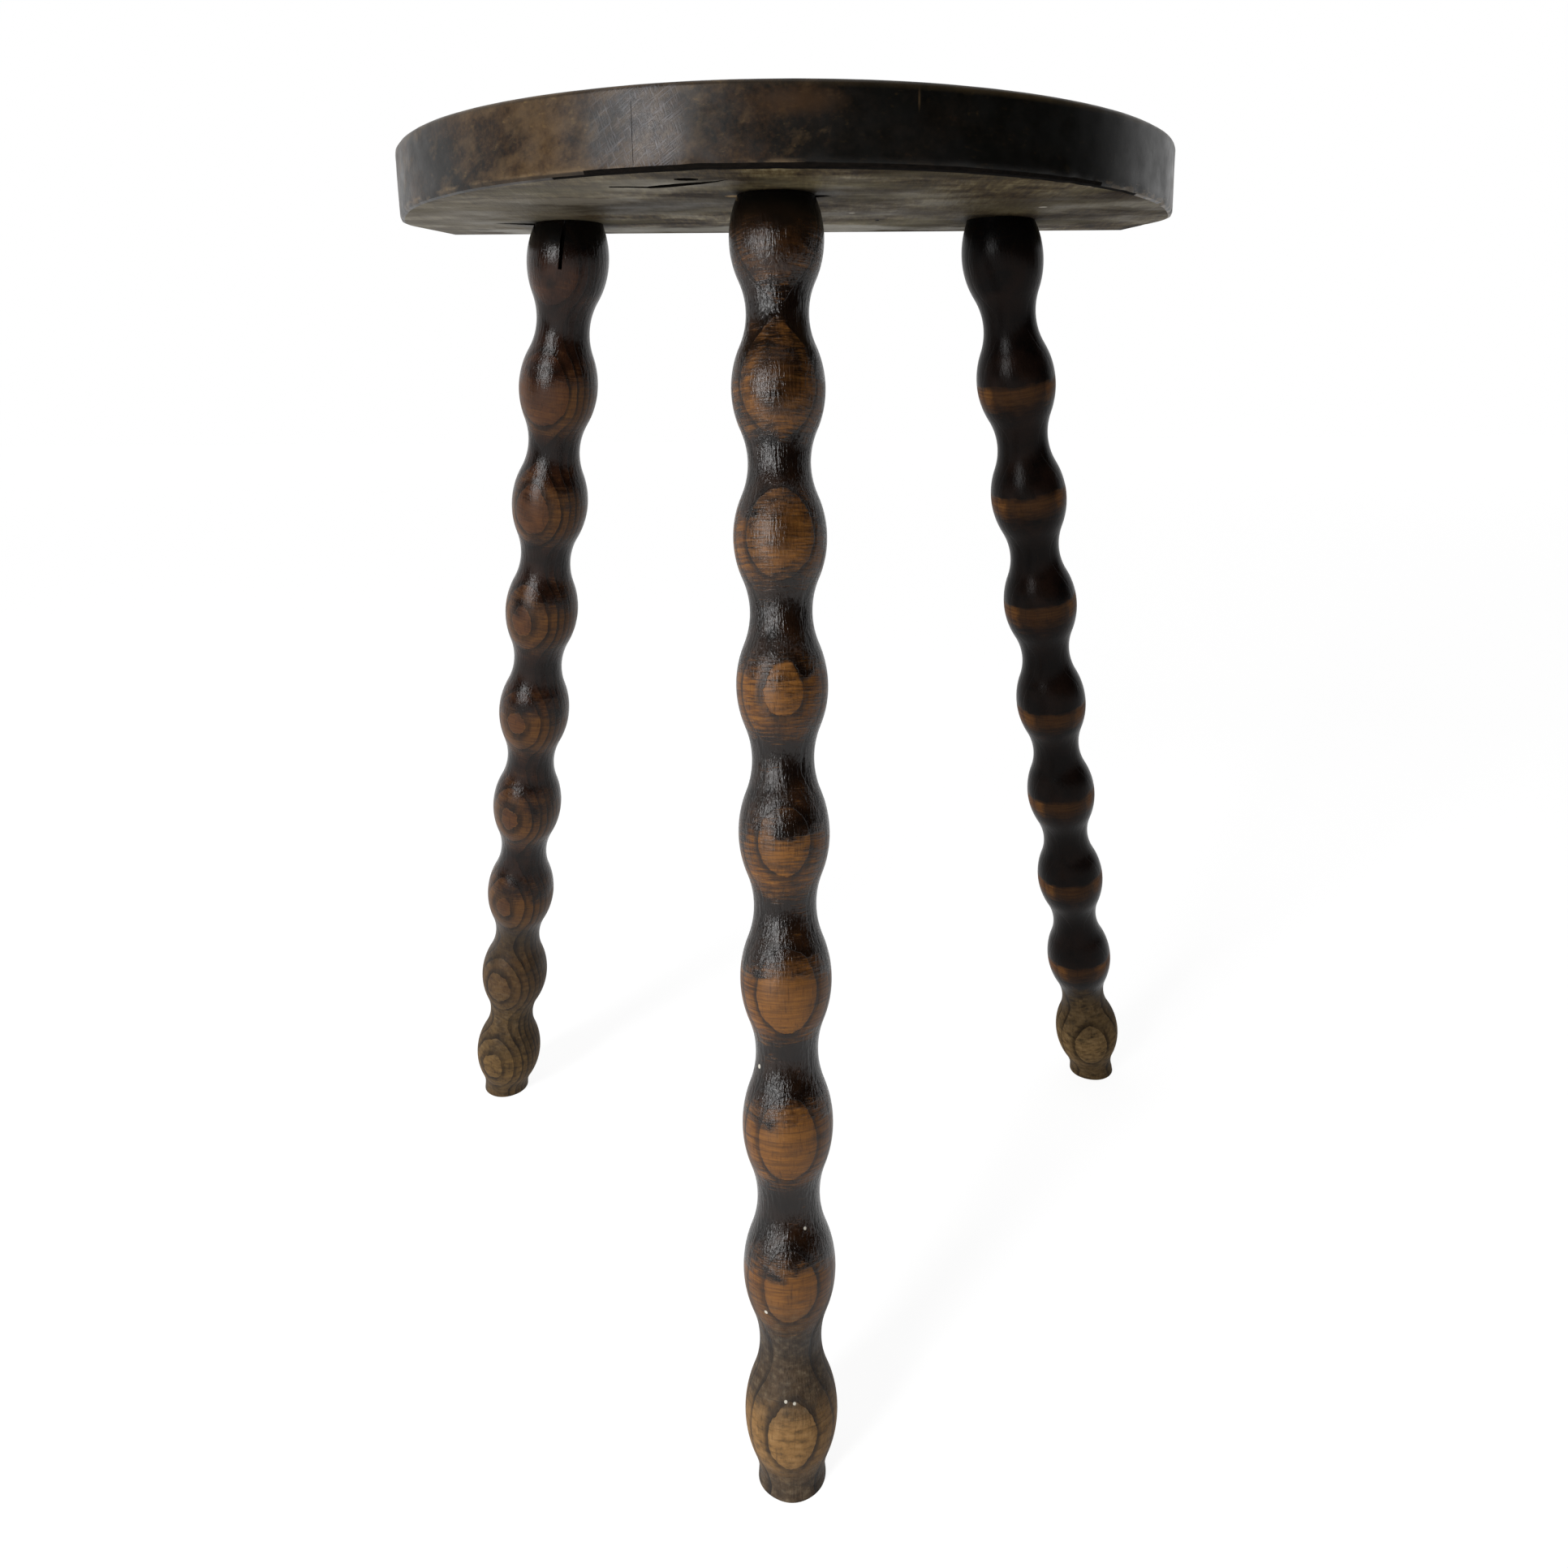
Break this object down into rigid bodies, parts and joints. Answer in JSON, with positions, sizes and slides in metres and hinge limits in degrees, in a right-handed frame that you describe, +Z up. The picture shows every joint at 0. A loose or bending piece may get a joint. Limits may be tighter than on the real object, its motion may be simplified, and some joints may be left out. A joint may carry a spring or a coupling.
{
  "type": "tripod stool",
  "caption": "Half-round plank seat on splayed, bead-turned wooden legs with wedged through tenons; dark-stained period tripod stool.",
  "frame": {"origin": "middle of the stool's outline on the floor", "axes": "+Z up; the front leg points to -Y and the straight rear edge of the seat faces +Y; +X is to the right seen from the front"},
  "size_m": [0.3387, 0.2557, 0.45],
  "materials": {
    "stained_plank": "dark-stained ash plank, worn satin finish outside and bare weathered wood underneath",
    "stained_turning": "dark-stained turned ash with a worn satin finish, amber on the beads and black in the necks",
    "pale_wedge": "split oak wedge, end grain flush with the seat, darkened by wear"
  },
  "bodies": {
    "root": {"seat": "stained_plank", "front_leg": "stained_turning", "rear_left_leg": "stained_turning", "rear_right_leg": "stained_turning", "front_wedge": "pale_wedge", "rear_left_wedge": "pale_wedge", "rear_right_wedge": "pale_wedge"}
  },
  "joints": []
}
